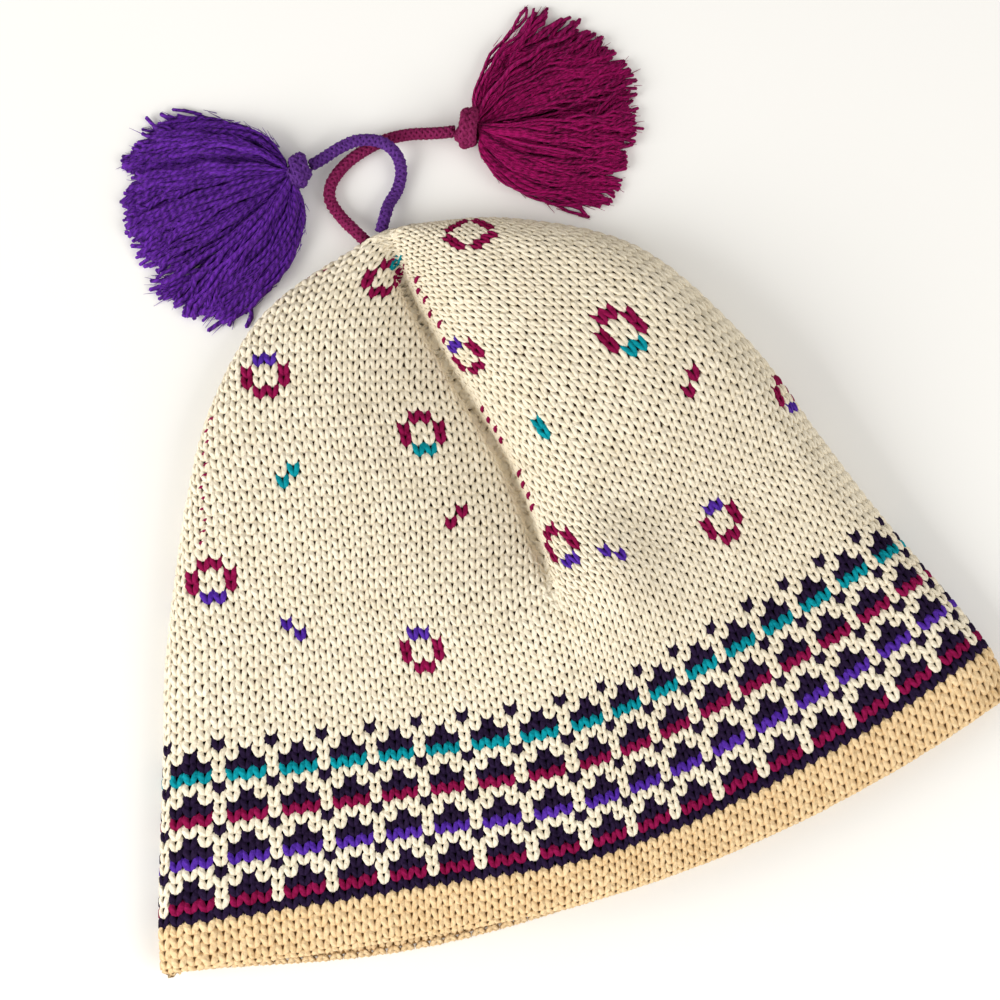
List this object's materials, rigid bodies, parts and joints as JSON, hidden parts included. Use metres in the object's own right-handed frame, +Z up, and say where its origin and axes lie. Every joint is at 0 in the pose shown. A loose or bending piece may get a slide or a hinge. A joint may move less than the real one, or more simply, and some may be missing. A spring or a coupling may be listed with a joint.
{
  "type": "pom-pom hat",
  "caption": "Soft knitted ski hat with a pointed gored crown, checked colour-work band, turned hem and yarn tassels on cords, lying flat.",
  "frame": {"origin": "on the surface that the hat lies on, under the centre of the hat's bounding box without its cords and tassels", "axes": "+Z up through the front layer of the hat as it lies on its back, +Y from the mouth towards the tip of the crown, +X along the brim"},
  "size_m": [0.2495, 0.2744, 0.0294],
  "materials": {
    "cream_knit": "matte knitted wool",
    "cream_hem": "matte knitted wool",
    "navy_knit": "matte knitted wool",
    "purple_yarn": "matte wool yarn",
    "plum_yarn": "matte wool yarn"
  },
  "bodies": {
    "root": {"crown": "cream_knit", "patterned_band": "navy_knit", "hem_band": "cream_hem", "purple_cord": "purple_yarn", "purple_knot": "purple_yarn", "purple_tassel": "purple_yarn", "plum_cord": "plum_yarn", "plum_knot": "plum_yarn", "plum_tassel": "plum_yarn"}
  },
  "joints": []
}
